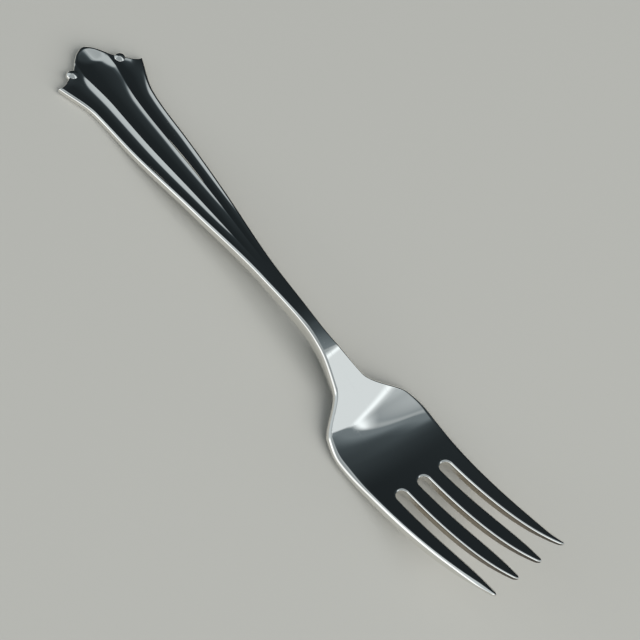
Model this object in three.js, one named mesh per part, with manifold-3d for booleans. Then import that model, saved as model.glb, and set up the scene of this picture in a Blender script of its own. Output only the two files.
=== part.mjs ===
// A dinner fork with four tines, struck from one metal blank and polished. Millimetres, +Z up.
// X runs along the fork from the handle's end to the points, Y runs across it, and it rests on z = 0.
// The blank is given as its named zones, which meet face to face on planes square to X.

import * as THREE from 'three';
import { mergeVertices } from 'three/addons/utils/BufferGeometryUtils.js';
import Module from 'manifold-3d';

// Lengths along the fork, in order from the handle's end
const FAN_LENGTH = 24.4; // from the middle lobe's point to the shaft
const HANDLE_LENGTH = 79;
const NECK_LENGTH = 26;
const BOWL_LENGTH = 29; // to the round ends of the slots
const TINE_LENGTH = 32;
const SHAFT_PLACE = 20; // three places down the handle, from its start
const STEM_PLACE = 43.5;
const STEM_END_PLACE = 71;
const CREST_PLACE = 9.5; // top of the arch, from the start of the neck
const ARCH_END_PLACE = 17; // where the neck turns down, from its start
const SHOULDER_PLACE = 9.5; // from the start of the bowl
const LOW_PLACE = 13.5; // lowest line of the bowl, back from the ends of the slots
const TINE_ROW_PLACE = 22; // from the ends of the slots
const FLUTE_FULL_LENGTH = 38.9; // from the middle lobe's point to where the flutes begin to fade
const FLUTE_LENGTH = 82.4; // and to where they have faded out

// Widths across the fork
const HORN_SPAN = 27.3;
const FAN_ROOT_WIDTH = 19.2;
const SHAFT_WIDTH = 16.3;
const STEM_WIDTH = 11.5;
const STEM_END_WIDTH = 5.6;
const NECK_WIDTH = 4.3;
const BOWL_START_WIDTH = 9.5;
const SHOULDER_WIDTH = 25.4;
const HEAD_WIDTH = 27.8;
const SLOT_ROW_WIDTH = 26.4; // across the ends of the slots
const TINE_ROW_WIDTH = 23.5; // two thirds of the way out along the tines
const POINTS_SPAN = 21.1; // over the outer points

// Heights of the face and thicknesses below it
const LOBE_HEIGHT = 3; // at the middle lobe's point, which turns up a little
const END_THICKNESS = 2.5;
const STEM_HEIGHT = 6.2;
const STEM_THICKNESS = 2.6;
const STEM_END_HEIGHT = 8.1;
const STEM_END_THICKNESS = 3.4;
const ARCH_HEIGHT = 9.3;
const NECK_THICKNESS = 4.4;
const ARCH_END_HEIGHT = 8.75;
const ARCH_END_THICKNESS = 4.3;
const BOWL_START_HEIGHT = 5.8;
const BOWL_START_THICKNESS = 3.3;
const SHOULDER_HEIGHT = 2.7;
const SHOULDER_THICKNESS = 2.2;
const BOWL_THICKNESS = 2;
const POINT_HEIGHT = 18.4;
const POINT_THICKNESS = 1.3;
const BEND_POWER = 1.85; // how the bowl's curve quickens towards the points
const FACE_CROWN = 0.45; // how far the handle's face falls from its middle line to its sides
const DISH_DEPTH = 0.6;
const BACK_CROWN = 0.35;

// Rounded sides: how far in and how far down the rounding of the face reaches
const LOBE_EDGE_WIDTH = 1.6;
const LOBE_EDGE_DROP = 1;
const HANDLE_EDGE_WIDTH = 0.9;
const HANDLE_EDGE_DROP = 1.05;
const HEAD_EDGE_WIDTH = 1;
const HEAD_EDGE_DROP = 1.5;
const FAN_BACK_RISE = 1.1; // rounding of the back's edges, on the fan and beyond it
const BACK_EDGE_RISE = 0.3;
const EDGE_WIDTH_LIMIT = 0.8; // of the half width, where the metal is narrow
const EDGE_DROP_LIMIT = 0.75; // of the thickness at the side, where it is thin
const EDGE_RISE_LIMIT = 0.8; // of what the rounding of the face leaves

// Decorated end: a pointed middle lobe, a bead in the notch on each side of it, and swept horns
const LOBE_HALF_WIDTH = 6.5;
const LOBE_LENGTH = 6.7;
const LOBE_POWER = 1.65; // 1 gives straight sides, 2 a parabola
const SWEEP_OFFSET = 9.3; // where the horn's swept edge starts, from the middle line
const SWEEP_PLACE = 8.9; // the same point, from the lobe's point
const SWEEP_POWER = 2.2;
const HORN_PLACE = 11;
const BEAD_RADIUS = 1.9;
const BEAD_HALF_HEIGHT = 1.5;
const BEAD_OFFSET = 7.6;
const BEAD_PLACE = 8.3;
const BEAD_RISE = 0.6; // above the face
const FLUTE_DEPTH = 0.7;
const SCOOP_DEPTH = 1.1; // of the middle flute at the lobe
const RIDGE_SHARE = 0.39; // of the half width, between the middle flute and the outer ones
const SCOOP_LENGTH = 7.5; // over which the middle flute falls to its full depth
const FLUTE_END_LENGTH = 5; // the same for the outer flutes

// Tines
const TINE_COUNT = 4;
const TINE_PITCH = 6.7;
const SLOT_WIDTH = 2.8; // at its round end
const TAPER_POWER = 4.5; // the higher, the later a tine narrows
const POINT_WIDTH = 1;

// Fineness of the mesh
const FLUTE_STEPS = 6;
const PLAIN_STEPS = 6;
const BOWL_STEPS = 16;
const TINE_STEPS = 3;
const FAN_ROWS = 12;
const HANDLE_ROWS = 22;
const NECK_ROWS = 14;
const BOWL_ROWS = 18;
const TINE_ROWS = 14;
const EDGE_SHARES = [1, 0.9, 0.55]; // columns on a rounded edge, 1 at the side
const POINT_SHARES = [0.4, 0.7, 0.9]; // rows on a point's rounding, 1 at its very end
const BEAD_SEGMENTS = 18;
const BEAD_RINGS = 12;
const SLOT_SEGMENTS = 14;

// Places along the fork, from the middle lobe's point
const fanEnd = FAN_LENGTH;
const neckStart = fanEnd + HANDLE_LENGTH;
const crest = neckStart + CREST_PLACE;
const archEnd = neckStart + ARCH_END_PLACE;
const bowlStart = neckStart + NECK_LENGTH;
const shoulder = bowlStart + SHOULDER_PLACE;
const slotEnd = bowlStart + BOWL_LENGTH;
const low = slotEnd - LOW_PLACE;
const tineStart = slotEnd + SLOT_WIDTH / 2;
const total = slotEnd + TINE_LENGTH;

const wasm = await Module();
wasm.setup();

const lerp = THREE.MathUtils.lerp;
const ease = (value, from, to) => THREE.MathUtils.smoothstep(value, from, to);
const shares = (count) => Array.from({ length: count + 1 }, (_, i) => i / count);

// A smooth curve through stations [place, value] that never swings past them.
function curveThrough(stations) {
  const step = stations.slice(1).map(([x], i) => x - stations[i][0]);
  const rise = stations.slice(1).map(([, y], i) => (y - stations[i][1]) / step[i]);
  const slope = stations.map((_, i) => {
    if (i === 0) return rise[0];
    if (i === rise.length) return rise[i - 1];
    if (rise[i - 1] * rise[i] <= 0) return 0;
    const before = 2 * step[i] + step[i - 1];
    const after = step[i] + 2 * step[i - 1];
    return (before + after) / (before / rise[i - 1] + after / rise[i]);
  });
  return (place) => {
    const x = THREE.MathUtils.clamp(place, stations[0][0], stations.at(-1)[0]);
    const i = Math.min(Math.max(stations.findIndex(([end]) => end >= x) - 1, 0), step.length - 1);
    const t = (x - stations[i][0]) / step[i];
    const ends = stations[i][1] * (1 + 2 * t) * (1 - t) ** 2 + stations[i + 1][1] * t * t * (3 - 2 * t);
    return ends + step[i] * (slope[i] * t * (1 - t) ** 2 + slope[i + 1] * t * t * (t - 1));
  };
}

// Plan: half the width at each place along the fork
const halfWidth = curveThrough([
  [HORN_PLACE, HORN_SPAN / 2],
  [fanEnd, FAN_ROOT_WIDTH / 2],
  [fanEnd + SHAFT_PLACE, SHAFT_WIDTH / 2],
  [fanEnd + STEM_PLACE, STEM_WIDTH / 2],
  [fanEnd + STEM_END_PLACE, STEM_END_WIDTH / 2],
  [crest, NECK_WIDTH / 2],
  [bowlStart, BOWL_START_WIDTH / 2],
  [shoulder, SHOULDER_WIDTH / 2],
  [low, HEAD_WIDTH / 2],
  [slotEnd, SLOT_ROW_WIDTH / 2],
  [slotEnd + TINE_ROW_PLACE, TINE_ROW_WIDTH / 2],
  [total, POINTS_SPAN / 2],
]);

// Side view: a flat end, a long rise to the arch, an S down to the bowl, then a sweep up to the points
const sideStations = [
  [0, LOBE_HEIGHT, LOBE_HEIGHT],
  [HORN_PLACE, END_THICKNESS, END_THICKNESS],
  [fanEnd, END_THICKNESS, END_THICKNESS],
  [fanEnd + STEM_PLACE, STEM_HEIGHT, STEM_THICKNESS],
  [fanEnd + STEM_END_PLACE, STEM_END_HEIGHT, STEM_END_THICKNESS],
  [crest, ARCH_HEIGHT, NECK_THICKNESS],
  [archEnd, ARCH_END_HEIGHT, ARCH_END_THICKNESS],
  [bowlStart, BOWL_START_HEIGHT, BOWL_START_THICKNESS],
  [shoulder, SHOULDER_HEIGHT, SHOULDER_THICKNESS],
  [low, BOWL_THICKNESS, BOWL_THICKNESS],
  [total, BOWL_THICKNESS, BOWL_THICKNESS],
];
function sideCurve(heightOf, point) {
  const shaftCurve = curveThrough(sideStations.map(([place, ...sizes]) => [place, heightOf(...sizes)]));
  const lowest = shaftCurve(low);
  return (s) => {
    if (s < low) return shaftCurve(s);
    return lowest + (point - lowest) * ((s - low) / (total - low)) ** BEND_POWER;
  };
}
const topLine = sideCurve((height) => height, POINT_HEIGHT);
const backLine = sideCurve((height, thick) => height - thick, POINT_HEIGHT - POINT_THICKNESS);
const dish = (s, y) => DISH_DEPTH * ease(s, bowlStart, low) * (y / halfWidth(s)) ** 2;
const faceCrownAtSide = (s) => FACE_CROWN * (1 - ease(s, fanEnd + STEM_PLACE, neckStart));
const faceCrown = (s, y) => faceCrownAtSide(s) * (y / halfWidth(s)) ** 2;
const backCrownAtSide = (s) => BACK_CROWN * ease(s, fanEnd, crest);
const backCrown = (s, y) => backCrownAtSide(s) * (y / halfWidth(s)) ** 2;

// Rounding of the sides, kept inside the metal where it is thin or narrow
const towardsHead = (s) => ease(s, neckStart, bowlStart);
const fullEdge = (s) => lerp(HANDLE_EDGE_WIDTH, HEAD_EDGE_WIDTH, towardsHead(s));
const fullDrop = (s) => lerp(HANDLE_EDGE_DROP, HEAD_EDGE_DROP, towardsHead(s));
const edgeWidth = (s, half) => Math.min(fullEdge(s), EDGE_WIDTH_LIMIT * half);
const sideThickness = (s) => topLine(s) - backLine(s) - faceCrownAtSide(s) - backCrownAtSide(s);
const edgeDrop = (s) => Math.min(fullDrop(s), EDGE_DROP_LIMIT * sideThickness(s));
const fullRise = (s) => lerp(FAN_BACK_RISE, BACK_EDGE_RISE, ease(s, fanEnd, fanEnd + SHAFT_PLACE));
const edgeRise = (s) => Math.min(fullRise(s), EDGE_RISE_LIMIT * (sideThickness(s) - edgeDrop(s)));
const roundOff = (edge) => 1 - Math.sqrt(1 - Math.min(edge * edge, 1));

// Columns across a zone: share spreads over the face, edge runs over the rounded side
function columnsAcross(faceShares) {
  const left = EDGE_SHARES.map((edge) => ({ share: -1, edge: -edge }));
  const right = EDGE_SHARES.map((edge) => ({ share: 1, edge })).reverse();
  return [...left, ...faceShares.map((share) => ({ share, edge: 0 })), ...right];
}
const plainColumns = columnsAcross(shares(PLAIN_STEPS).map((t) => lerp(-1, 1, t)));
const bowlColumns = columnsAcross(shares(BOWL_STEPS).map((t) => lerp(-1, 1, t)));
const tineColumns = columnsAcross(shares(TINE_STEPS).map((t) => lerp(-1, 1, t)));
const fluteEdges = [-1, -RIDGE_SHARE, RIDGE_SHARE, 1];
const fluteColumns = columnsAcross([
  ...fluteEdges.slice(1).flatMap((right, i) =>
    shares(FLUTE_STEPS).slice(0, -1).map((t) => lerp(fluteEdges[i], right, t))),
  1,
]);

// Hollow of the flute at a share of the face, 0 on a crest and 1 in the middle of a flute
function hollow(share) {
  const right = Math.max(fluteEdges.findIndex((crestShare) => crestShare >= share), 1);
  const t = (share - fluteEdges[right - 1]) / (fluteEdges[right] - fluteEdges[right - 1]);
  return 4 * t * (1 - t);
}
const fluteFade = (s) => 1 - ease(s, FLUTE_FULL_LENGTH, FLUTE_LENGTH);

// A closed plate over a grid of columns and rows. Each vertex gives its place along and across the
// fork and the heights of its face and back.
function plate(columns, rows, vertexAt) {
  const wide = columns.length;
  const long = rows.length;
  const points = rows.flatMap((row) => columns.map((column) => vertexAt(column, row)));
  const position = [];
  for (const side of ['face', 'back']) {
    for (const point of points) position.push(point.s - total / 2, point.y, point[side]);
  }
  const face = (c, r) => r * wide + c;
  const back = (c, r) => face(c, r) + wide * long;
  const index = [];
  const quad = (a, b, c, d) => index.push(a, b, c, a, c, d);
  for (let r = 0; r + 1 < long; r += 1) {
    for (let c = 0; c + 1 < wide; c += 1) {
      quad(face(c, r), face(c, r + 1), face(c + 1, r + 1), face(c + 1, r));
      quad(back(c, r), back(c + 1, r), back(c + 1, r + 1), back(c, r + 1));
    }
    quad(back(0, r), back(0, r + 1), face(0, r + 1), face(0, r));
    quad(back(wide - 1, r + 1), back(wide - 1, r), face(wide - 1, r), face(wide - 1, r + 1));
  }
  for (let c = 0; c + 1 < wide; c += 1) {
    quad(back(c + 1, 0), back(c, 0), face(c, 0), face(c + 1, 0));
    quad(back(c, long - 1), back(c + 1, long - 1), face(c + 1, long - 1), face(c, long - 1));
  }
  const geometry = new THREE.BufferGeometry();
  geometry.setAttribute('position', new THREE.Float32BufferAttribute(position, 3));
  geometry.setIndex(index);
  return geometry;
}

function toSolid(geometry) {
  const bare = geometry.clone();
  bare.deleteAttribute('normal');
  bare.deleteAttribute('uv');
  const merged = mergeVertices(bare);
  return new wasm.Manifold(new wasm.Mesh({
    numProp: 3,
    vertProperties: new Float32Array(merged.attributes.position.array),
    triVerts: new Uint32Array(merged.index.array),
  }));
}

function toGeometry(solid) {
  const { vertProperties, triVerts } = solid.getMesh();
  const geometry = new THREE.BufferGeometry();
  geometry.setAttribute('position', new THREE.BufferAttribute(vertProperties, 3));
  geometry.setIndex(new THREE.BufferAttribute(triVerts, 1));
  return geometry;
}

// Outline of the handle's end: how far back the edge lies at a distance across
function endOutline(y) {
  const across = Math.abs(y);
  if (across < LOBE_HALF_WIDTH) return LOBE_LENGTH * (across / LOBE_HALF_WIDTH) ** LOBE_POWER;
  const start = Math.max(SWEEP_OFFSET, LOBE_HALF_WIDTH);
  if (across < start) {
    return lerp(LOBE_LENGTH, SWEEP_PLACE, (across - LOBE_HALF_WIDTH) / (start - LOBE_HALF_WIDTH));
  }
  const left = Math.max((HORN_SPAN / 2 - across) / (HORN_SPAN / 2 - start), 0);
  return HORN_PLACE - (HORN_PLACE - SWEEP_PLACE) * left ** SWEEP_POWER;
}

// Handle end: fluted fan, trimmed to its outline, with a bead in each notch
function handleEnd() {
  const half = HORN_SPAN / 2;
  const rows = [
    ...EDGE_SHARES.map((edge) => ({ edge, share: 0 })),
    ...shares(FAN_ROWS).map((share) => ({ edge: 0, share })),
  ];
  const fan = plate(fluteColumns, rows, ({ share, edge }, row) => {
    const start = endOutline(share * (half - HANDLE_EDGE_WIDTH) + edge * HANDLE_EDGE_WIDTH);
    const towardsHorn = ease(Math.abs(share), RIDGE_SHARE, LOBE_HALF_WIDTH / half);
    const rim = lerp(LOBE_EDGE_WIDTH, HANDLE_EDGE_WIDTH, towardsHorn);
    const s = lerp(start + (1 - row.edge) * rim, fanEnd, row.share);
    const drop = lerp(LOBE_EDGE_DROP, edgeDrop(s), towardsHorn);
    const round = roundOff(Math.max(Math.abs(edge), 1 - (s - start) / rim, 0));
    const inMiddle = Math.abs(share) < RIDGE_SHARE;
    const run = inMiddle ? (s - rim) / SCOOP_LENGTH : (s - start - rim) / FLUTE_END_LENGTH;
    const fallen = 1 - (1 - THREE.MathUtils.clamp(run, 0, 1)) ** 2;
    const depth = inMiddle ? lerp(SCOOP_DEPTH, FLUTE_DEPTH, ease(s, 0, fanEnd)) : FLUTE_DEPTH;
    const width = edgeWidth(s, halfWidth(s));
    const y = share * (halfWidth(s) - width) + edge * width;
    return {
      s,
      y,
      face: topLine(s) - faceCrown(s, y) - depth * hollow(share) * fallen - drop * round,
      back: backLine(s) + edgeRise(s) * round,
    };
  });
  const beadZ = END_THICKNESS + BEAD_RISE - BEAD_HALF_HEIGHT;
  let solid = toSolid(fan);
  for (const side of [-1, 1]) {
    const bead = new THREE.SphereGeometry(BEAD_RADIUS, BEAD_SEGMENTS, BEAD_RINGS);
    bead.rotateX(Math.PI / 2).scale(1, 1, BEAD_HALF_HEIGHT / BEAD_RADIUS);
    bead.translate(BEAD_PLACE - total / 2, side * BEAD_OFFSET, beadZ);
    solid = solid.add(toSolid(bead));
  }
  return toGeometry(solid);
}

// Handle and neck: a loft between two places along the fork
function shaft(columns, rowCount, from, to) {
  return plate(columns, shares(rowCount), ({ share, edge }, t) => {
    const s = lerp(from, to, t);
    const width = edgeWidth(s, halfWidth(s));
    const y = share * (halfWidth(s) - width) + edge * width;
    return {
      s,
      y,
      face: topLine(s) - faceCrown(s, y) - FLUTE_DEPTH * fluteFade(s) * hollow(share)
        - edgeDrop(s) * roundOff(edge),
      back: backLine(s) + backCrown(s, y) + edgeRise(s) * roundOff(edge),
    };
  });
}

// Slots: straight cuts with a round end, one between each two tines
const slotCentres = shares(TINE_COUNT - 2).map((t) => lerp(-1, 1, t) * TINE_PITCH * (TINE_COUNT - 2) / 2);

function slotCutter(y) {
  const radius = SLOT_WIDTH / 2;
  const outline = new THREE.Shape();
  outline.absarc(tineStart - total / 2, y, radius, Math.PI / 2, Math.PI * 1.5);
  outline.lineTo(total / 2, y - radius);
  outline.lineTo(total / 2, y + radius);
  const depth = POINT_HEIGHT + 2 * BOWL_THICKNESS;
  const sweep = { depth, bevelEnabled: false, curveSegments: SLOT_SEGMENTS };
  const cutter = new THREE.ExtrudeGeometry(outline, sweep);
  return toSolid(cutter.translate(0, 0, -BOWL_THICKNESS));
}

function bowl() {
  const blank = plate(bowlColumns, shares(BOWL_ROWS), ({ share, edge }, t) => {
    const s = lerp(bowlStart, tineStart, t);
    const width = edgeWidth(s, halfWidth(s));
    const y = share * (halfWidth(s) - width) + edge * width;
    return {
      s,
      y,
      face: topLine(s) + dish(s, y) - edgeDrop(s) * roundOff(edge),
      back: backLine(s) + backCrown(s, y) + dish(s, y) + edgeRise(s) * roundOff(edge),
    };
  });
  const slotted = slotCentres.reduce((solid, y) => solid.subtract(slotCutter(y)), toSolid(blank));
  return toGeometry(slotted);
}

// Tines: each runs from the slots' round ends to a blunt point, between a slot's edge or the outline
const alongTine = (s) => (s - tineStart) / (total - tineStart);
const slotHalf = (s) => lerp(SLOT_WIDTH / 2, (TINE_PITCH - POINT_WIDTH) / 2, alongTine(s) ** TAPER_POWER);

function tine(number) {
  const pointRadius = POINT_WIDTH / 2;
  const pointRows = POINT_SHARES.map((t) => total - pointRadius * (1 - t));
  const places = [...shares(TINE_ROWS).map((t) => lerp(tineStart, total - pointRadius, t)), ...pointRows];
  return plate(tineColumns, places, ({ share, edge }, s) => {
    const left = number === 0 ? -halfWidth(s) : slotCentres[number - 1] + slotHalf(s);
    const right = number === TINE_COUNT - 1 ? halfWidth(s) : slotCentres[number] - slotHalf(s);
    const pastShoulder = Math.max(s - (total - pointRadius), 0) / pointRadius;
    const half = (right - left) / 2 * Math.sqrt(1 - pastShoulder ** 2);
    const sharpRoot = ease(s, tineStart, tineStart + SLOT_WIDTH);
    const outward = number === 0 ? -1 : Number(number === TINE_COUNT - 1);
    const softened = Math.sign(edge) === outward ? 1 : sharpRoot;
    const width = edgeWidth(s, half);
    const y = (left + right) / 2 + share * (half - width) + edge * width;
    const round = roundOff(edge) * softened;
    return {
      s,
      y,
      face: topLine(s) + dish(s, y) - edgeDrop(s) * round,
      back: backLine(s) + backCrown(s, y) + dish(s, y) + edgeRise(s) * round,
    };
  });
}

// Polished metal
const metal = () => new THREE.MeshStandardMaterial({ color: 0xd2d1cc, roughness: 0.12, metalness: 1 });

const fork = new THREE.Group();
function addZone(name, geometry) {
  geometry.computeVertexNormals();
  const zone = new THREE.Mesh(geometry, metal());
  zone.name = name;
  fork.add(zone);
}

addZone('handle_end', handleEnd());
addZone('handle', shaft(fluteColumns, HANDLE_ROWS, fanEnd, neckStart));
addZone('neck', shaft(plainColumns, NECK_ROWS, neckStart, bowlStart));
addZone('bowl', bowl());
for (let number = 0; number < TINE_COUNT; number += 1) addZone(`tine_${number + 1}`, tine(number));

export default fork;
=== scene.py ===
# %% [markdown]
# # A dinner fork in polished metal
#
# The real fork is one blank of metal: struck in a die, pierced, bent and polished until it mirrors the
# room. So it gets one unbroken skin here, worked out as numpy surfaces, in place of the zones of the packed
# model. The fork's sizes are in millimetres, with `s` running along it from the handle's end to the points
# and `y` running across it. They become metres only when a mesh is made.

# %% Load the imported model
import math

import bpy
import numpy as np
from mathutils import Matrix, Vector


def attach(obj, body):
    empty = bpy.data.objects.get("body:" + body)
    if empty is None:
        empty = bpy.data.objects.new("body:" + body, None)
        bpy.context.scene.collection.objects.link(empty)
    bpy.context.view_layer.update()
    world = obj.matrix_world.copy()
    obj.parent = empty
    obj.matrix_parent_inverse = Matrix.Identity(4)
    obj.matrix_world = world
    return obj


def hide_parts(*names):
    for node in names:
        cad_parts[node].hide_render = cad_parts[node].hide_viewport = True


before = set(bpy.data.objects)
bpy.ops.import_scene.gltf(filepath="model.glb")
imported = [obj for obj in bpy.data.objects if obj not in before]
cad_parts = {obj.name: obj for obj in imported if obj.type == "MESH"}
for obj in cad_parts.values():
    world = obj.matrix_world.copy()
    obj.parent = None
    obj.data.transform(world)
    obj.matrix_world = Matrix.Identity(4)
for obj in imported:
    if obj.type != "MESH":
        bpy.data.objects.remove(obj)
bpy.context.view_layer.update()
scene = bpy.context.scene
scene.view_settings.view_transform = "Standard"
MM = 0.001
print("packed zones:", sorted(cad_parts))

# %% [markdown]
# ## The camera
#
# A polished face shows only what it mirrors, so the viewpoint decides the picture more than any paint.
# The place, aim, roll and lens below were fitted to the fork's edges in the photograph, which is square.

# %% Camera
CAMERA_PLACE = (106.0, -102.17, 219.45)
CAMERA_AZIMUTH, CAMERA_ELEVATION, CAMERA_ROLL = 40.02, 57.06, 16.47  # degrees
CAMERA_LENS, SENSOR_WIDTH = 57.44, 36.0
NEAREST_SEEN = 0.01  # metres


def camera_matrix(place, azimuth, elevation, roll):
    """Level axes from the azimuth and elevation, then turned about the line of sight by the roll."""
    a, e, r = (math.radians(angle) for angle in (azimuth, elevation, roll))
    back = Vector((math.sin(a) * math.cos(e), -math.cos(a) * math.cos(e), math.sin(e)))
    level = Vector((math.cos(a), math.sin(a), 0))
    upright = back.cross(level)
    right = level * math.cos(r) + upright * math.sin(r)
    up = back.cross(right)
    turn = Matrix((right, up, back)).transposed().to_4x4()
    return Matrix.Translation(Vector(place) * MM) @ turn


camera = bpy.data.objects.new("camera", bpy.data.cameras.new("camera"))
camera.data.lens = CAMERA_LENS
camera.data.sensor_width = SENSOR_WIDTH
camera.data.clip_start = NEAREST_SEEN
camera.matrix_world = camera_matrix(CAMERA_PLACE, CAMERA_AZIMUTH, CAMERA_ELEVATION, CAMERA_ROLL)
scene.collection.objects.link(camera)
scene.camera = camera
print("camera at", tuple(round(v, 4) for v in camera.location))

# %% [markdown]
# ## Two curve helpers
#
# A die sinker sets a fork out by stations: a width or a height at each of a few places, with a fair line
# drawn through them. `curve_through` does the same with a cubic that never swings past its stations, so a
# narrow neck can't ripple. `ease` is the soft step used wherever one form runs into the next.

# %% Curves


def lerp(a, b, t):
    """The value a share t of the way from a to b."""
    return a + (b - a) * t


def ease(value, start, end):
    """0 before start, 1 after end, and the smooth step 3t^2 - 2t^3 between them."""
    t = np.clip((value - start) / (end - start), 0, 1)
    return t * t * (3 - 2 * t)


def curve_through(*stations):
    """Cubic pieces through (place, value) stations. Each slope is the weighted harmonic mean of its
    neighbours' rises, or zero at a turn, so no piece overshoots."""
    x, y = np.array(stations, float).T
    step = np.diff(x)
    rise = np.diff(y) / step
    before = 2 * step[1:] + step[:-1]
    after = step[1:] + 2 * step[:-1]
    bends = rise[:-1] * rise[1:] > 0
    left = np.where(bends, rise[:-1], 1)
    right = np.where(bends, rise[1:], 1)
    inner = np.where(bends, (before + after) / (before / left + after / right), 0)
    slope = np.concatenate([rise[:1], inner, rise[-1:]])

    def curve(place):
        p = np.clip(place, x[0], x[-1])
        i = np.clip(np.searchsorted(x, p) - 1, 0, len(step) - 1)
        t = (p - x[i]) / step[i]
        ends = y[i] * (1 + 2 * t) * (1 - t) ** 2 + y[i + 1] * t * t * (3 - 2 * t)
        return ends + step[i] * (slope[i] * t * (1 - t) ** 2 + slope[i + 1] * t * t * (t - 1))

    return curve


def slope_of(curve, s, step=0.05):
    """How steeply a curve runs at s, from its values a little to each side."""
    return (curve(s + step) - curve(s - step)) / (2 * step)


# %% [markdown]
# ## Plan and side view
#
# The plan gives the width at each place. The side view has a flat end, a long rise to the arch of the neck,
# an S down into the bowl, and a sweep up to the points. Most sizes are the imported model's, so the skin lies
# where its zones do and stays in its box. A few differ, because the mirrored room shows them so finely: the
# handle's face is flatter, its flutes run farther, and the tines' backs sweep up later than their faces,
# which makes the tines stouter.

# %% Plan and side view
FAN_LENGTH, HANDLE_LENGTH, NECK_LENGTH, BOWL_LENGTH, TINE_LENGTH = 24.4, 79.0, 26.0, 29.0, 32.0
SHAFT_PLACE, STEM_PLACE, STEM_END_PLACE = 20.0, 43.5, 71.0
CREST_PLACE, ARCH_END_PLACE, SHOULDER_PLACE, LOW_PLACE, TINE_ROW_PLACE = 9.5, 17.0, 9.5, 13.5, 22.0
HORN_PLACE, HORN_SPAN = 11.0, 27.3
SLOT_WIDTH = 2.8

fan_end = FAN_LENGTH
neck_start = fan_end + HANDLE_LENGTH
crest = neck_start + CREST_PLACE
arch_end = neck_start + ARCH_END_PLACE
bowl_start = neck_start + NECK_LENGTH
shoulder = bowl_start + SHOULDER_PLACE
slot_end = bowl_start + BOWL_LENGTH
low = slot_end - LOW_PLACE
slot_radius = SLOT_WIDTH / 2
tine_start = slot_end + slot_radius
total = slot_end + TINE_LENGTH

PLAN = (  # place along the fork, full width
    (HORN_PLACE, HORN_SPAN),
    (fan_end, 19.2),
    (fan_end + SHAFT_PLACE, 16.3),
    (fan_end + STEM_PLACE, 11.5),
    (fan_end + STEM_END_PLACE, 5.6),
    (crest, 4.3),
    (bowl_start, 9.5),
    (shoulder, 25.4),
    (low, 27.8),
    (slot_end, 26.4),
    (slot_end + TINE_ROW_PLACE, 23.5),
    (total, 21.1),
)
END_THICKNESS = 2.5
SIDE = (  # place along the fork, height of the face, thickness below it
    (0, 3.0, 3.0),
    (HORN_PLACE, END_THICKNESS, END_THICKNESS),
    (fan_end, END_THICKNESS, END_THICKNESS),
    (fan_end + STEM_PLACE, 6.2, 2.6),
    (fan_end + STEM_END_PLACE, 8.1, 3.4),
    (crest, 9.3, 4.4),
    (arch_end, 8.75, 4.3),
    (bowl_start, 5.8, 3.3),
    (shoulder, 2.7, 2.2),
    (low, 2.0, 2.0),
    (total, 2.0, 2.0),
)
POINT_HEIGHT, POINT_THICKNESS = 18.4, 1.3
FACE_BEND_POWER, BACK_BEND_POWER = 1.85, 2.15
FACE_CROWN, BACK_CROWN, DISH_DEPTH = 0.25, 0.35, 0.6

half_width = curve_through(*((place, width / 2) for place, width in PLAN))


def side_curve(stations, point, power):
    """The stations' curve up to the lowest line of the bowl, then a power sweep from there to the point."""
    shaft = curve_through(*stations)
    lowest = float(shaft(low))

    def curve(s):
        swept = np.clip((s - low) / (total - low), 0, 1)
        return np.where(s < low, shaft(s), lowest + (point - lowest) * swept**power)

    return curve


face_stations = [(s, height) for s, height, _ in SIDE]
back_stations = [(s, height - thick) for s, height, thick in SIDE]
top_line = side_curve(face_stations, POINT_HEIGHT, FACE_BEND_POWER)
back_line = side_curve(back_stations, POINT_HEIGHT - POINT_THICKNESS, BACK_BEND_POWER)


def dish(s, y):
    """The bowl's hollow: a parabola across it that comes in between the neck and the lowest line."""
    return DISH_DEPTH * ease(s, bowl_start, low) * (y / half_width(s)) ** 2


def face_crown(s, y):
    """How far the handle's face falls towards its sides, a parabola that runs out before the neck."""
    return FACE_CROWN * (1 - ease(s, fan_end + STEM_PLACE, neck_start)) * (y / half_width(s)) ** 2


def back_crown(s, y):
    """The back's slight crown, a parabola across it that comes in along the handle."""
    return BACK_CROWN * ease(s, fan_end, crest) * (y / half_width(s)) ** 2


print("length", total, "mm, head", round(2 * float(half_width(low)), 1), "mm wide")

# %% [markdown]
# ## The slots between the tines
#
# The slots are pierced with a round-ended punch and then filed wider towards the points, so each starts at
# a half circle, runs almost straight and only opens near the points, where the tines narrow like a blade.

# %% Slots
TINE_COUNT, TINE_PITCH = 4, 6.7
POINT_WIDTH, TIP_LENGTH, TAPER_POWER = 1.0, 0.8, 5.5

slot_centres = TINE_PITCH * (np.arange(TINE_COUNT - 1) - (TINE_COUNT - 2) / 2)


def slot_half(s):
    """Half a slot's width: its end's radius, growing by a high power of the way out along the tine."""
    way = np.clip((s - tine_start) / (total - tine_start), 0, 1)
    return lerp(slot_radius, (TINE_PITCH - POINT_WIDTH) / 2, way**TAPER_POWER)


print("slots at", slot_centres, "mm, opening to", round(2 * float(slot_half(total)), 2), "mm")

# %% [markdown]
# ## The decorated end
#
# The end is trimmed to a pointed lobe between two swept horns, with a notch for a bead on each side. Its
# outline is a function of the distance across, which lets every column of the grid start exactly on it.

# %% Outline of the decorated end
LOBE_HALF_WIDTH, LOBE_LENGTH, LOBE_POWER = 6.5, 6.7, 1.65
SWEEP_OFFSET, SWEEP_PLACE, SWEEP_POWER = 9.3, 8.9, 2.2


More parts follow.
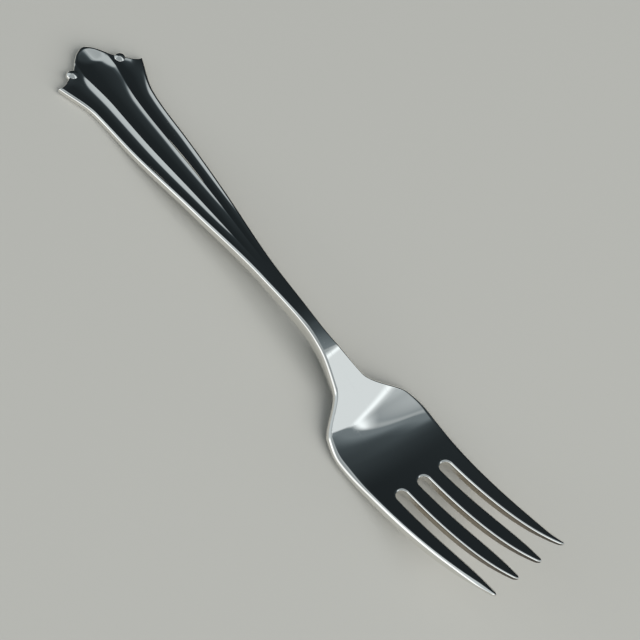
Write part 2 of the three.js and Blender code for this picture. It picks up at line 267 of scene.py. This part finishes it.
def end_outline(y):
    """Place of the edge at a distance across: a power curve for the lobe, a straight notch, then a power
    curve that flattens out towards the horn."""
    across = np.abs(y)
    lobe = LOBE_LENGTH * (np.minimum(across, LOBE_HALF_WIDTH) / LOBE_HALF_WIDTH) ** LOBE_POWER
    into_notch = (across - LOBE_HALF_WIDTH) / (SWEEP_OFFSET - LOBE_HALF_WIDTH)
    notch = lerp(LOBE_LENGTH, SWEEP_PLACE, into_notch)
    left = np.clip((HORN_SPAN / 2 - across) / (HORN_SPAN / 2 - SWEEP_OFFSET), 0, 1)
    sweep = HORN_PLACE - (HORN_PLACE - SWEEP_PLACE) * left**SWEEP_POWER
    return np.where(across < LOBE_HALF_WIDTH, lobe, np.where(across < SWEEP_OFFSET, notch, sweep))


# %% [markdown]
# ## Flutes
#
# Three hollow flutes run down the handle between four crests and fade out half way along. A parabola
# between crests gives each flute the die's shallow hollow. Polishing takes the sharpness off the crests, so
# the parabola's corner is rounded with a hyperbola. In the lobe the middle flute deepens into a scoop.

# %% Flutes
FLUTE_FULL_LENGTH, FLUTE_LENGTH = 46.0, 94.0
FLUTE_DEPTH, RIDGE_SHARE, CREST_ROUND = 0.7, 0.39, 0.04
SCOOP_LENGTH, SCOOP_DEPTH, SCOOP_RUN, FLUTE_END_LENGTH = 8.0, 1.5, 18.0, 8.0
SCOOP_STRAIGHTNESS = 0.5  # 0 starts the scoop along the lobe's outline, 1 straight across the fork


def hollow(share):
    """0 on a crest and about 1 in the middle of a flute: 4t(1 - t) across it, rounded at the crest."""
    across = np.abs(share)
    middle = (across + RIDGE_SHARE) / (2 * RIDGE_SHARE)
    outer = (across - RIDGE_SHARE) / (1 - RIDGE_SHARE)
    t = np.where(across < RIDGE_SHARE, middle, outer)
    raw = np.maximum(4 * t * (1 - t), 0)
    return np.sqrt(raw**2 + CREST_ROUND**2) - CREST_ROUND


# %% [markdown]
# ## Rounded edges
#
# No edge of a fork is left sharp. Each is about a quarter of an ellipse: broad round the lobe and along the
# sides, flatter round the head, small round the slots. A place on the face drops by its distance from the
# nearest edge, so the rounding runs unbroken round horns, lobe, shoulders and slots.

# %% Face and back heights
LOBE_EDGE_WIDTH, LOBE_EDGE_DROP = 1.6, 1.0
HANDLE_EDGE_WIDTH, HANDLE_EDGE_DROP = 0.9, 1.05
HEAD_EDGE_WIDTH, HEAD_EDGE_DROP = 1.0, 1.5
SLOT_EDGE_WIDTH, SLOT_EDGE_DROP = 0.6, 0.6
FAN_BACK_RISE, BACK_EDGE_RISE = 1.1, 0.3
EDGE_WIDTH_LIMIT, EDGE_DROP_LIMIT, EDGE_RISE_LIMIT = 0.8, 0.75, 0.8
ROUND_POWER, HEAD_EDGE_POWER = 2.0, 1.35


def towards_head(s):
    """0 on the handle and 1 from the bowl on, for sizes that change along the neck."""
    return ease(s, neck_start, bowl_start)


def towards_horn(y):
    """0 across the lobe and 1 from the notches outwards, for sizes that change along the trimmed end."""
    return ease(np.abs(y), RIDGE_SHARE * HORN_SPAN / 2, LOBE_HALF_WIDTH)


def rim_width(y):
    """How far in the end's rounding reaches: broad on the lobe, as along the sides elsewhere."""
    return lerp(LOBE_EDGE_WIDTH, HANDLE_EDGE_WIDTH, towards_horn(y))


def edge_width(s):
    """How far in an edge's rounding reaches, kept to a share of the half width where that is small."""
    full = lerp(HANDLE_EDGE_WIDTH, HEAD_EDGE_WIDTH, towards_head(s))
    narrow = np.where(s < tine_start, half_width(s), TINE_PITCH / 2 - slot_half(s))
    return np.minimum(full, EDGE_WIDTH_LIMIT * narrow)


def side_thickness(s):
    """Thickness at the outline: the face's height less the back's, with both crowns taken off."""
    side = half_width(s)
    return top_line(s) - back_line(s) - face_crown(s, side) - back_crown(s, side)


def edge_drop(s):
    """How far down it reaches, kept to a share of the thickness at the side."""
    full = lerp(HANDLE_EDGE_DROP, HEAD_EDGE_DROP, towards_head(s))
    return np.minimum(full, EDGE_DROP_LIMIT * side_thickness(s))


def edge_rise(s):
    """The same on the back, where the rounding is slight."""
    full = lerp(FAN_BACK_RISE, BACK_EDGE_RISE, ease(s, fan_end, fan_end + SHAFT_PLACE))
    return np.minimum(full, EDGE_RISE_LIMIT * (side_thickness(s) - edge_drop(s)))


def round_off(edge, power=ROUND_POWER):
    """Fall of a rounding, from 0 where it starts to 1 at the very edge: power 2 makes a quarter of a
    circle, and a lower power a flatter one."""
    return 1 - (1 - np.clip(edge, 0, 1) ** power) ** (1 / power)


def heights(s, y):
    """Heights of the face and of the back: side view plus dish, less the flutes, less the rounded edges."""
    width = edge_width(s)
    share = np.clip(y / (half_width(s) - edge_width(np.minimum(s, tine_start))), -1, 1)
    from_end = s - end_outline(y)
    rim = rim_width(y)
    in_middle = np.abs(share) < RIDGE_SHARE
    inwards = lerp(from_end, s, np.where(in_middle, SCOOP_STRAIGHTNESS, 0))
    run = (inwards - rim) / np.where(in_middle, SCOOP_LENGTH, FLUTE_END_LENGTH)
    fallen = 1 - (1 - np.clip(run, 0, 1)) ** 2
    depth = np.where(in_middle, lerp(SCOOP_DEPTH, FLUTE_DEPTH, ease(s, 0, SCOOP_RUN)), FLUTE_DEPTH)
    fade = 1 - ease(s, FLUTE_FULL_LENGTH, FLUTE_LENGTH)
    face = top_line(s) - face_crown(s, y) + dish(s, y) - depth * fallen * fade * hollow(share)
    back = back_line(s) + back_crown(s, y) + dish(s, y)

    lean = np.cos(np.arctan(slope_of(half_width, s)))
    from_side = (half_width(s) - np.abs(y)) * lean
    outer = np.maximum(1 - from_side / width, 1 - from_end / rim)
    from_centre = np.abs(y[..., None] - slot_centres).min(-1)
    beside = from_centre - slot_half(s)
    behind = np.hypot(np.minimum(s - tine_start, 0), from_centre) - slot_radius
    slot = 1 - np.where(s < tine_start, behind, beside) / np.minimum(SLOT_EDGE_WIDTH, width)
    slot_drop = np.minimum(SLOT_EDGE_DROP, edge_drop(s))
    outer_drop = lerp(LOBE_EDGE_DROP, edge_drop(s), np.where(s < fan_end, towards_horn(y), 1))
    power = lerp(ROUND_POWER, HEAD_EDGE_POWER, towards_head(s))
    drop = np.maximum(outer_drop * round_off(outer, power), slot_drop * round_off(slot))
    rise = edge_rise(s) * round_off(np.maximum(outer, slot))
    return face - drop, back + rise


# %% [markdown]
# ## Columns of the grid
#
# One grid covers the whole fork, so nothing has to be joined. At the head its columns are laid out in
# lanes: tine, slot, tine and so on, with extra columns in each rounded edge. Along the handle the same
# columns spread over the flutes, bunched at the crests. Between the two the layouts blend.

# %% Columns
EDGE_STEPS, OUTER_FACE_STEPS, INNER_FACE_STEPS, GAP_STEPS = 7, 6, 4, 14
OUTER_FLUTE_PART, BUNCHING = 0.3, 0.7
GAP = 10  # lane numbers from here on are slots

turn = np.linspace(0, np.pi / 2, EDGE_STEPS + 1)


def tine_lane(face_steps):
    """Columns of one tine as (edge widths in from the left side, share of the face crossed)."""
    widths = np.concatenate([1 - np.sin(turn[::-1]), np.ones(face_steps - 1), 1 + np.sin(turn)])
    crossed = np.concatenate([np.zeros(EDGE_STEPS), np.linspace(0, 1, face_steps + 1), np.ones(EDGE_STEPS)])
    return widths, crossed


lanes = []
for number in range(TINE_COUNT):
    at_side = number in (0, TINE_COUNT - 1)
    widths, crossed = tine_lane(OUTER_FACE_STEPS if at_side else INNER_FACE_STEPS)
    lanes.append(np.stack([np.full(len(widths), number), widths, crossed]))
    if number < TINE_COUNT - 1:
        round_slot = -np.cos(np.linspace(0, np.pi, GAP_STEPS + 1))[1:-1]
        lanes.append(np.stack([np.full(len(round_slot), GAP + number), round_slot, 0 * round_slot]))
column_lane, column_a, column_b = np.concatenate(lanes, axis=1)
column_count = len(column_lane)


def bunched(steps):
    """Shares from 0 to 1 that lie closer together near both ends."""
    even = np.linspace(0, 1, steps + 1)
    return lerp(even, (1 - np.cos(np.pi * even)) / 2, BUNCHING)


face_columns = column_count - 2 * EDGE_STEPS
outer_steps = round(OUTER_FLUTE_PART * face_columns)
middle_steps = face_columns - 1 - 2 * outer_steps
flute_shares = np.concatenate([
    lerp(-1, -RIDGE_SHARE, bunched(outer_steps))[:-1],
    lerp(-RIDGE_SHARE, RIDGE_SHARE, bunched(middle_steps))[:-1],
    lerp(RIDGE_SHARE, 1, bunched(outer_steps)),
])
column_share = np.concatenate([-np.ones(EDGE_STEPS), flute_shares, np.ones(EDGE_STEPS)])
column_edge = np.concatenate([-np.sin(turn[:0:-1]), np.zeros(face_columns), np.sin(turn[1:])])


def across_handle(s):
    """Columns as shares of the face between the rounded sides, then through the rounding itself."""
    width = edge_width(np.minimum(s, tine_start))
    return column_share * (half_width(s) - width) + column_edge * width


def across_head(s):
    """Columns laid out by lane: a tine lies between a slot's side, or the outline, and the next."""
    at_slot = np.maximum(s, tine_start)
    width = edge_width(at_slot)
    y = np.zeros_like(s)
    for number in range(TINE_COUNT):
        lane = column_lane == number
        left, right = -half_width(s[:, lane]), half_width(s[:, lane])
        if number > 0:
            left = slot_centres[number - 1] + slot_half(at_slot[:, lane])
        if number < TINE_COUNT - 1:
            right = slot_centres[number] - slot_half(at_slot[:, lane])
        inside = right - left - 2 * width[:, lane]
        y[:, lane] = left + column_a[lane] * width[:, lane] + column_b[lane] * inside
    for number, centre in enumerate(slot_centres):
        lane = column_lane == GAP + number
        y[:, lane] = centre + column_a[lane] * slot_half(at_slot[:, lane])
    return y


print(column_count, "columns across the fork")

# %% [markdown]
# ## Rows of the grid
#
# The first rows follow the trimmed end inwards, the next ones straighten out along the fan, and from there
# rows run square across. Near the slots the rows in a slot's lane bend to its half circle, and past it only
# the tines go on. The last rows of each tine close round its own middle line to make a blunt point.

# %% Rows
RIM_ROWS, FAN_ROWS, HANDLE_ROWS, NECK_ROWS = 7, 48, 104, 44
BOWL_ROWS, SLOT_ROWS, TINE_ROWS, TIP_ROWS = 40, 22, 56, 8
SLOT_APPROACH, HANDLE_LAYOUT_END, HEAD_LAYOUT_START = 7.0, 4.0, 6.0
FAN_CROWDING, SLOT_CROWDING, ROOT_CROWDING = 1.15, 1.7, 1.3
TIP_CLOSE = 0.47  # share of a half turn; at 0.5 the last row would shrink to nothing


def rows_between(start, end, count, crowding=1.0):
    """Rows after start up to end, the first ones closer together where crowding is above 1."""
    return lerp(start, end, np.linspace(0, 1, count + 1)[1:, None] ** crowding) * np.ones(column_count)


end_y = column_share * (HORN_SPAN / 2 - HANDLE_EDGE_WIDTH) + column_edge * HANDLE_EDGE_WIDTH
end_start = end_outline(end_y)
end_rim = rim_width(end_y)
rim_steps = 1 - np.cos(np.linspace(0, np.pi / 2, RIM_ROWS + 1))[:, None]
approach = slot_end - SLOT_APPROACH
in_gap = column_lane >= GAP
arc = np.sqrt(np.clip(1 - column_a**2, 0, 1))
slot_stop = np.where(in_gap, tine_start - slot_radius * arc, tine_start)
slot_steps = 1 - (1 - np.linspace(0, 1, SLOT_ROWS + 1)[1:, None]) ** SLOT_CROWDING
tip_steps = np.sin(np.linspace(0, TIP_CLOSE * np.pi, TIP_ROWS + 1))[1:, None]
before_tines = np.concatenate([
    end_start + end_rim * rim_steps,
    rows_between(end_start + end_rim, fan_end, FAN_ROWS, FAN_CROWDING),
    rows_between(fan_end, neck_start, HANDLE_ROWS),
    rows_between(neck_start, bowl_start, NECK_ROWS),
    rows_between(bowl_start, approach, BOWL_ROWS),
    lerp(approach, slot_stop, slot_steps),
])
root_row = len(before_tines) - 1
grid_s = np.concatenate([
    before_tines,
    rows_between(tine_start, total - TIP_LENGTH, TINE_ROWS, ROOT_CROWDING),
    total - TIP_LENGTH * (1 - tip_steps) * np.ones(column_count),
])
head_part = ease(grid_s, bowl_start + HANDLE_LAYOUT_END, slot_end - HEAD_LAYOUT_START)
grid_y = lerp(across_handle(grid_s), across_head(grid_s), head_part)
grid_face, grid_back = heights(grid_s, grid_y)

past = np.clip((grid_s - (total - TIP_LENGTH)) / TIP_LENGTH, 0, 1)
closing = np.sqrt(1 - past**2)
for number in range(TINE_COUNT):
    lane = column_lane == number
    middle = (grid_y[:, lane][:, :1] + grid_y[:, lane][:, -1:]) / 2
    grid_y[:, lane] = middle + (grid_y[:, lane] - middle) * closing[:, lane]
core = (grid_face + grid_back) / 2
grid_face = core + (grid_face - core) * closing
grid_back = core + (grid_back - core) * closing
print(len(grid_s), "rows, slots start at row", root_row)

# %% [markdown]
# ## From grid to closed skin
#
# The face and the back are the same grid at two heights. Cells inside a slot are left out. The edges that
# then belong to one cell only are the fork's outline and its slots, and a short upright wall closes each of
# them from face to back.

# %% Skin
WALL_LEVELS = (0.12, 0.5, 0.88)  # shares of the way down, close to the edges so that they stay crisp


def closed_skin(s, y, face, back, cells):
    """Vertices and quads of the solid between two heights over the chosen cells of a grid."""
    rows, columns = s.shape
    number = np.arange(rows * columns).reshape(rows, columns)
    corners = np.stack([number[:-1, :-1], number[1:, :-1], number[1:, 1:], number[:-1, 1:]], -1)[cells]
    edges = np.concatenate([corners[:, [i, (i + 1) % 4]] for i in range(4)])
    code = edges[:, 0] * number.size + edges[:, 1]
    reverse = edges[:, 1] * number.size + edges[:, 0]
    border = edges[~np.isin(code, reverse)]

    place = np.stack([s.ravel() - total / 2, y.ravel()], -1)
    rim = np.unique(border)
    levels = [np.concatenate([place, height.reshape(-1, 1)], -1) for height in (face, back)]
    for share in WALL_LEVELS:
        levels.append(lerp(levels[0][rim], levels[1][rim], share))
    points = np.concatenate(levels)
    on_rim = np.zeros(number.size, int)
    on_rim[rim] = np.arange(len(rim))
    ring = [border]
    for level in range(len(WALL_LEVELS)):
        ring.append(2 * number.size + level * len(rim) + on_rim[border])
    ring.append(border + number.size)
    walls = [np.stack([a[:, 1], a[:, 0], b[:, 0], b[:, 1]], -1) for a, b in zip(ring, ring[1:])]
    quads = np.concatenate([corners, corners[:, ::-1] + number.size, *walls])

    used, index = np.unique(quads, return_inverse=True)
    return points[used], index.reshape(-1, 4)


def mesh_piece(name, points, faces):
    """A smooth-shaded mesh object at the origin, its points turned from millimetres to metres."""
    mesh = bpy.data.meshes.new(name)
    mesh.from_pydata((points * MM).tolist(), [], [face.tolist() for face in faces])
    mesh.polygons.foreach_set("use_smooth", np.ones(len(mesh.polygons), bool))
    mesh.update()
    piece = bpy.data.objects.new(name, mesh)
    scene.collection.objects.link(piece)
    return piece


same_lane = (column_lane[1:] == column_lane[:-1]) & ~in_gap[1:]
cells = np.ones((len(grid_s) - 1, column_count - 1), bool)
cells[root_row:] = same_lane
fork_points, fork_quads = closed_skin(grid_s, grid_y, grid_face, grid_back, cells)
fork = mesh_piece("fork", fork_points, fork_quads)
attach(fork, "root")
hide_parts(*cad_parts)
print("fork skin:", len(fork_points), "points,", 2 * len(fork_quads), "triangles")

# %% [markdown]
# ## Beads
#
# A small bead sits in each notch beside the lobe. In the die it is a drilled pit, so it comes out as a ball
# that stands a little above the face, flattened, and sunk into the metal around it.

# %% Beads
BEAD_RADIUS, BEAD_HALF_HEIGHT, BEAD_OFFSET, BEAD_PLACE, BEAD_RISE = 1.9, 1.5, 7.6, 8.3, 0.6
BEAD_RINGS, BEAD_SEGMENTS = 24, 48


def ball(centre, radii, rings, segments):
    """Points on circles of latitude between two poles, with triangles at the poles and quads between."""
    tilt = np.linspace(0, np.pi, rings + 1)[1:-1, None]
    around = np.linspace(0, 2 * np.pi, segments, endpoint=False)[None, :]
    out, up = np.sin(tilt), np.cos(tilt)
    shell = np.stack([out * np.cos(around), out * np.sin(around), up + 0 * around], -1)
    points = np.concatenate([[[0, 0, 1]], shell.reshape(-1, 3), [[0, 0, -1]]])
    number = 1 + np.arange((rings - 1) * segments).reshape(rings - 1, segments)
    following = np.roll(number, -1, axis=1)
    quads = np.stack([number[:-1], number[1:], following[1:], following[:-1]], -1).reshape(-1, 4)
    top = np.stack([0 * number[0], number[0], following[0]], -1)
    bottom = np.stack([0 * number[-1] + len(points) - 1, following[-1], number[-1]], -1)
    return np.array(centre) + np.array(radii) * points, [*quads, *top, *bottom]


bead_points, bead_faces = [], []
for side in (-1, 1):
    centre = (BEAD_PLACE - total / 2, side * BEAD_OFFSET, END_THICKNESS + BEAD_RISE - BEAD_HALF_HEIGHT)
    points, faces = ball(centre, (BEAD_RADIUS, BEAD_RADIUS, BEAD_HALF_HEIGHT), BEAD_RINGS, BEAD_SEGMENTS)
    bead_faces += [face + sum(map(len, bead_points)) for face in faces]
    bead_points.append(points)
beads = mesh_piece("beads", np.concatenate(bead_points), bead_faces)
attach(beads, "root")
print("beads:", len(bead_faces), "faces")

# %% [markdown]
# ## Polished metal
#
# The finish is a mirror polish on silver plate or stainless steel. The buffing wheel ran along the fork and
# left hairlines that smear what the metal mirrors into faint streaks. Noise stretched along the fork gives
# them. The wheel doesn't reach between the tines, so their sides are duller. That dull skin is kept to
# upright places between the outer tines, and there the colour is painted shade, darker and browner towards
# the points, standing in for the shaded floor that those sides mirror.

# %% Materials
HAIRLINE_LENGTH, HAIRLINE_WIDTH = 25.0, 0.22  # millimetres, wider than the real ones so that they show
HAIRLINE_HEIGHT, HAIRLINE_DETAIL = 0.0001, 3.0
MIRROR_ROUGHNESS, HAIRLINE_ROUGHNESS, DULL_ROUGHNESS = 0.02, 0.25, 0.3
HAIRLINE_FAINT, HAIRLINE_FULL = 0.62, 0.8  # values of the noise where a hairline starts and where it is full
# The upright sides between the outer tines are made rougher and get painted shade. The two colours after
# SILVER are that painted shade, faint near the roots and full near the points.
DULL_SHADE_SPAN, DULL_SHADE_EDGE, DULL_SHADE_RUN = 9.5, 1.0, 4.0  # out from the middle plane, and along the tines
DULL_SHADE_STEEP, DULL_SHADE_GENTLE = 0.3, 0.55  # how far up or down a side faces where it is quite dull, and bright
SILVER, FAINT_PAINTED_SHADE, FULL_PAINTED_SHADE = "#EFEDE8", "#C6BBAA", "#5A544E"


def linear(hex_colour):
    """An sRGB hex colour as linear red, green, blue and alpha."""
    srgb = np.array([int(hex_colour[i : i + 2], 16) for i in (1, 3, 5)]) / 255
    low_part = srgb / 12.92
    high_part = ((srgb + 0.055) / 1.055) ** 2.4
    return (*np.where(srgb <= 0.04045, low_part, high_part).tolist(), 1.0)


def add_node(tree, kind, inputs=(), **settings):
    """A node of that kind with its settings; inputs are (socket, value or another node's output)."""
    node = tree.nodes.new(kind)
    for name, value in settings.items():
        setattr(node, name, value)
    for socket, value in inputs:
        if isinstance(value, bpy.types.NodeSocket):
            tree.links.new(value, node.inputs[socket])
        else:
            node.inputs[socket].default_value = value
    return node


def polished_metal():
    """Mirror-polished metal, with hairlines along X from noise stretched that way, and upright sides between
    the tines that turn duller and carry painted shade, darker and browner towards the points."""
    material = bpy.data.materials.new("mirror_polished_silver")
    material.use_nodes = True
    tree = material.node_tree
    shader = tree.nodes["Principled BSDF"]
    shader.inputs["Metallic"].default_value = 1.0

    def ramp(value, start, end, least=0.0, most=1.0):
        sockets = [
            ("Value", value), ("From Min", start), ("From Max", end), ("To Min", least), ("To Max", most),
        ]
        return add_node(tree, "ShaderNodeMapRange", sockets).outputs["Result"]

    def size_of(value):
        return add_node(tree, "ShaderNodeMath", [(0, value)], operation="ABSOLUTE").outputs["Value"]

    def both(a, b):
        return add_node(tree, "ShaderNodeMath", [(0, a), (1, b)], operation="MULTIPLY").outputs["Value"]

    def mix(factor, a, b):
        sockets = [("Factor", factor), ("A", a), ("B", b)]
        return add_node(tree, "ShaderNodeMix", sockets, data_type="RGBA").outputs[2]

    place = add_node(tree, "ShaderNodeTexCoord")
    along, wide = 1 / (HAIRLINE_LENGTH * MM), 1 / (HAIRLINE_WIDTH * MM)
    stretched = add_node(tree, "ShaderNodeMapping", [
        ("Vector", place.outputs["Object"]), ("Scale", (along, wide, along)),
    ])
    hairlines = add_node(tree, "ShaderNodeTexNoise", [
        ("Vector", stretched.outputs["Vector"]), ("Scale", 1.0), ("Detail", HAIRLINE_DETAIL),
    ])
    shown = ramp(hairlines.outputs["Fac"], HAIRLINE_FAINT, HAIRLINE_FULL)
    rough = ramp(shown, 0.0, 1.0, MIRROR_ROUGHNESS, HAIRLINE_ROUGHNESS)

    spot = add_node(tree, "ShaderNodeSeparateXYZ", [("Vector", place.outputs["Object"])])
    facing = add_node(tree, "ShaderNodeSeparateXYZ", [("Vector", place.outputs["Normal"])])
    root = (tine_start - total / 2) * MM
    past_roots = ramp(spot.outputs["X"], root, root + DULL_SHADE_RUN * MM)
    inside = ramp(size_of(spot.outputs["Y"]), (DULL_SHADE_SPAN + DULL_SHADE_EDGE) * MM, DULL_SHADE_SPAN * MM)
    steep = ramp(size_of(facing.outputs["Z"]), DULL_SHADE_GENTLE, DULL_SHADE_STEEP)
    # This mask makes those sides rougher and also lays the painted shade into their colour.
    dull_and_painted_shade = both(both(past_roots, inside), steep)
    towards_point = ramp(spot.outputs["X"], root, total / 2 * MM)
    painted_shade = mix(towards_point, linear(FAINT_PAINTED_SHADE), linear(FULL_PAINTED_SHADE))
    colour = mix(dull_and_painted_shade, linear(SILVER), painted_shade)
    tree.links.new(colour, shader.inputs["Base Color"])
    roughness = add_node(tree, "ShaderNodeMix", [("Factor", dull_and_painted_shade), ("A", rough), ("B", DULL_ROUGHNESS)])
    tree.links.new(roughness.outputs["Result"], shader.inputs["Roughness"])
    bump = add_node(tree, "ShaderNodeBump", [
        ("Height", hairlines.outputs["Fac"]), ("Strength", 1.0), ("Distance", HAIRLINE_HEIGHT * MM),
    ])
    tree.links.new(bump.outputs["Normal"], shader.inputs["Normal"])
    return material


metal = polished_metal()
for piece in (fork, beads):
    piece.data.materials.append(metal)
print("material:", metal.name)

# %% [markdown]
# ## Floor
#
# A plain pale floor, matt, just under the fork. The fork's sides mirror it, which is what makes them cream.

# %% Floor
FLOOR_SIZE, FLOOR_GAP = 6.0, 2e-5  # metres
FLOOR_COLOUR, FLOOR_ROUGHNESS, FLOOR_GLOSS = "#BAB8B1", 0.9, 0.1


def matt_floor():
    """Matt paint in a pale warm grey."""
    material = bpy.data.materials.new("matt_pale_floor")
    material.use_nodes = True
    shader = material.node_tree.nodes["Principled BSDF"]
    shader.inputs["Base Color"].default_value = linear(FLOOR_COLOUR)
    shader.inputs["Roughness"].default_value = FLOOR_ROUGHNESS
    shader.inputs["Specular IOR Level"].default_value = FLOOR_GLOSS
    return material


reach = FLOOR_SIZE / 2
floor_mesh = bpy.data.meshes.new("floor")
floor_corners = [(reach * x, reach * y, -FLOOR_GAP) for x, y in ((-1, -1), (1, -1), (1, 1), (-1, 1))]
floor_mesh.from_pydata(floor_corners, [], [(0, 1, 2, 3)])
floor_mesh.materials.append(matt_floor())
floor = bpy.data.objects.new("floor", floor_mesh)
scene.collection.objects.link(floor)

# %% [markdown]
# ## Light
#
# Polish needs something dark to mirror, or it looks like grey paint. The room here is bright on the near
# side and dark on the far side, with a border between them that lies near upright. It is written as a
# brightness for each direction, by its distance past that border, so the flutes turn into dark and bright
# stripes and the bowl gets its grey arc. One large window beyond the points lights the floor, even between
# the tines, and throws the soft shadow. The metal doesn't mirror that lamp, only the room.

# %% Light
# Each border: the way from dark to bright, and how far behind upright it starts.
BOWL_BORDER = (0.395, -0.919, 0.0), 0.399
FLUTE_BORDER = (0.3, -0.954, 0.0), 0.112
FLUTE_SIDE, BOWL_SIDE = -0.5, -0.3  # where, along X, one border gives way to the other
BOWL_TONES = (  # distance past the border, brightness
    (-1.0, 0.02),
    (-0.2, 0.045),
    (-0.14, 0.055),
    (-0.08, 0.07),
    (-0.06, 0.095),
    (-0.04, 0.15),
    (-0.025, 0.2),
    (0.0, 0.21),
    (0.012, 0.42),
    (0.024, 0.4),
    (0.036, 0.3),
    (0.06, 0.38),
    (0.09, 0.46),
    (0.12, 0.52),
    (0.2, 0.45),
    (0.4, 0.36),
    (1.0, 0.36),
)
FLUTE_TONES = (
    (-1.0, 0.016),
    (-0.5, 0.02),
    (-0.3, 0.027),
    (-0.1, 0.035),
    (-0.03, 0.06),
    (0.0, 0.19),
    (0.03, 0.44),
    (0.06, 0.52),
    (0.1, 0.54),
    (0.2, 0.58),
    (0.5, 0.62),
    (1.0, 0.68),
)
DARK_TINT, BRIGHT_TINT, FULL_TINT = (0.76, 1.0, 1.15), (0.9, 1.0, 1.06), 0.4
DOORWAY_LEAN, DOORWAY_START = (0.21, 1.0, 0.0), 0.443
DOORWAY_BRIGHTNESS, DOORWAY_TINT, DOORWAY_EDGE = 0.8, (0.92, 1.0, 1.05), 0.036
STREAK_WIDTH, STREAK_BRIGHTNESS = 0.018, 0.36
NEAR_START, NEAR_END = 0.75, 0.95  # how far past the border the near side's low parts begin
WALL_FOOT, WALL_TOP, WALL_EDGE, WALL_BRIGHTNESS = 0.02, 0.4, 0.05, 0.8
SKIRTING = (0.2, 0.175, 0.145)
BACKDROP = "#C4C4BE"  # what shows beyond the floor


def room():
    """A world whose brightness follows the distance past the dark side's border, with a doorway that the
    neck and bowl mirror, a streak of sun along its edge, and on the near side a low wall with a brown
    skirting."""
    world = bpy.data.worlds.new("room")
    world.use_nodes = True
    tree = world.node_tree
    tree.nodes.clear()

    def maths(operation, a, b=0.0):
        return add_node(tree, "ShaderNodeMath", [(0, a), (1, b)], operation=operation).outputs["Value"]

    def lean(direction):
        sockets = [(0, towards), (1, direction)]
        return add_node(tree, "ShaderNodeVectorMath", sockets, operation="DOT_PRODUCT").outputs["Value"]

    def step(value, start, end):
        ramp = add_node(tree, "ShaderNodeMapRange", [
            ("Value", value), ("From Min", start), ("From Max", end),
        ], interpolation_type="SMOOTHSTEP")
        return ramp.outputs["Result"]

    def mix(factor, a, b, blend="MIX"):
        sockets = [("Factor", factor), ("A", a), ("B", b)]
        return add_node(tree, "ShaderNodeMix", sockets, data_type="RGBA", blend_type=blend).outputs[2]

    def tones(past, stations):
        sockets = [("Value", past), ("From Min", -1.0), ("From Max", 1.0)]
        share = add_node(tree, "ShaderNodeMapRange", sockets)
        ramp = add_node(tree, "ShaderNodeValToRGB", [("Fac", share.outputs["Result"])])
        stops = ramp.color_ramp.elements
        while len(stops) < len(stations):
            stops.new(1.0)
        for stop, (distance, brightness) in zip(stops, stations):
            stop.position = (distance + 1) / 2
            tint = lerp(np.array(DARK_TINT), np.array(BRIGHT_TINT), min(brightness / FULL_TINT, 1))
            stop.color = (*(brightness * tint), 1)
        return ramp.outputs["Color"]

    towards = add_node(tree, "ShaderNodeTexCoord").outputs["Generated"]
    borders = (BOWL_BORDER, FLUTE_BORDER)
    past_bowl, past_flutes = (maths("ADD", lean(side), behind) for side, behind in borders)
    at_bowl = step(lean((1, 0, 0)), FLUTE_SIDE, BOWL_SIDE)
    way = maths("MULTIPLY", at_bowl, maths("SUBTRACT", past_bowl, past_flutes))
    past = maths("ADD", past_flutes, way)
    sides = mix(at_bowl, tones(past, FLUTE_TONES), tones(past, BOWL_TONES))

    into_doorway = maths("SUBTRACT", lean(DOORWAY_LEAN), DOORWAY_START)
    off_arc = step(past_bowl, 0.0, STREAK_WIDTH)
    lit = maths("MULTIPLY", step(into_doorway, -DOORWAY_EDGE, 0.0), off_arc)
    streak = maths("SUBTRACT", 1.0, step(maths("ABSOLUTE", into_doorway), 0.0, STREAK_WIDTH))
    brightness = maths("ADD", maths("MULTIPLY", streak, STREAK_BRIGHTNESS), DOORWAY_BRIGHTNESS)
    doorway = mix(1.0, brightness, (*DOORWAY_TINT, 1.0), "MULTIPLY")

    up = lean((0, 0, 1))
    near = step(past_bowl, NEAR_START, NEAR_END)
    below_top = maths("SUBTRACT", 1.0, step(up, WALL_TOP - WALL_EDGE, WALL_TOP + WALL_EDGE))
    wall = maths("MULTIPLY", maths("MULTIPLY", near, below_top), WALL_BRIGHTNESS)
    below_foot = maths("SUBTRACT", 1.0, step(up, WALL_FOOT - WALL_EDGE, WALL_FOOT + WALL_EDGE))
    walled = mix(1.0, mix(lit, sides, doorway), wall, "ADD")
    mirrored = mix(maths("MULTIPLY", near, below_foot), walled, (*SKIRTING, 1.0))

    path = add_node(tree, "ShaderNodeLightPath")
    seen = mix(path.outputs["Is Camera Ray"], mirrored, linear(BACKDROP))
    light = add_node(tree, "ShaderNodeBackground", [("Color", seen), ("Strength", 1.0)])
    add_node(tree, "ShaderNodeOutputWorld", [("Surface", light.outputs["Background"])])
    return world


scene.world = room()

WINDOW_DIRECTION = (0.85, 0.05, 0.52)
WINDOW_DISTANCE, WINDOW_SIZE, WINDOW_POWER = 5.6, 4.88, 448.0  # metres and watts
window = bpy.data.objects.new("window", bpy.data.lights.new("window", "AREA"))
window.data.shape = "SQUARE"
window.data.size = WINDOW_SIZE
window.data.energy = WINDOW_POWER
window.visible_glossy = False
towards = Vector(WINDOW_DIRECTION).normalized()
window.location = towards * WINDOW_DISTANCE
window.rotation_euler = towards.to_track_quat("Z", "Y").to_euler()
scene.collection.objects.link(window)
print("window light of", WINDOW_POWER, "W at", WINDOW_DISTANCE, "m")
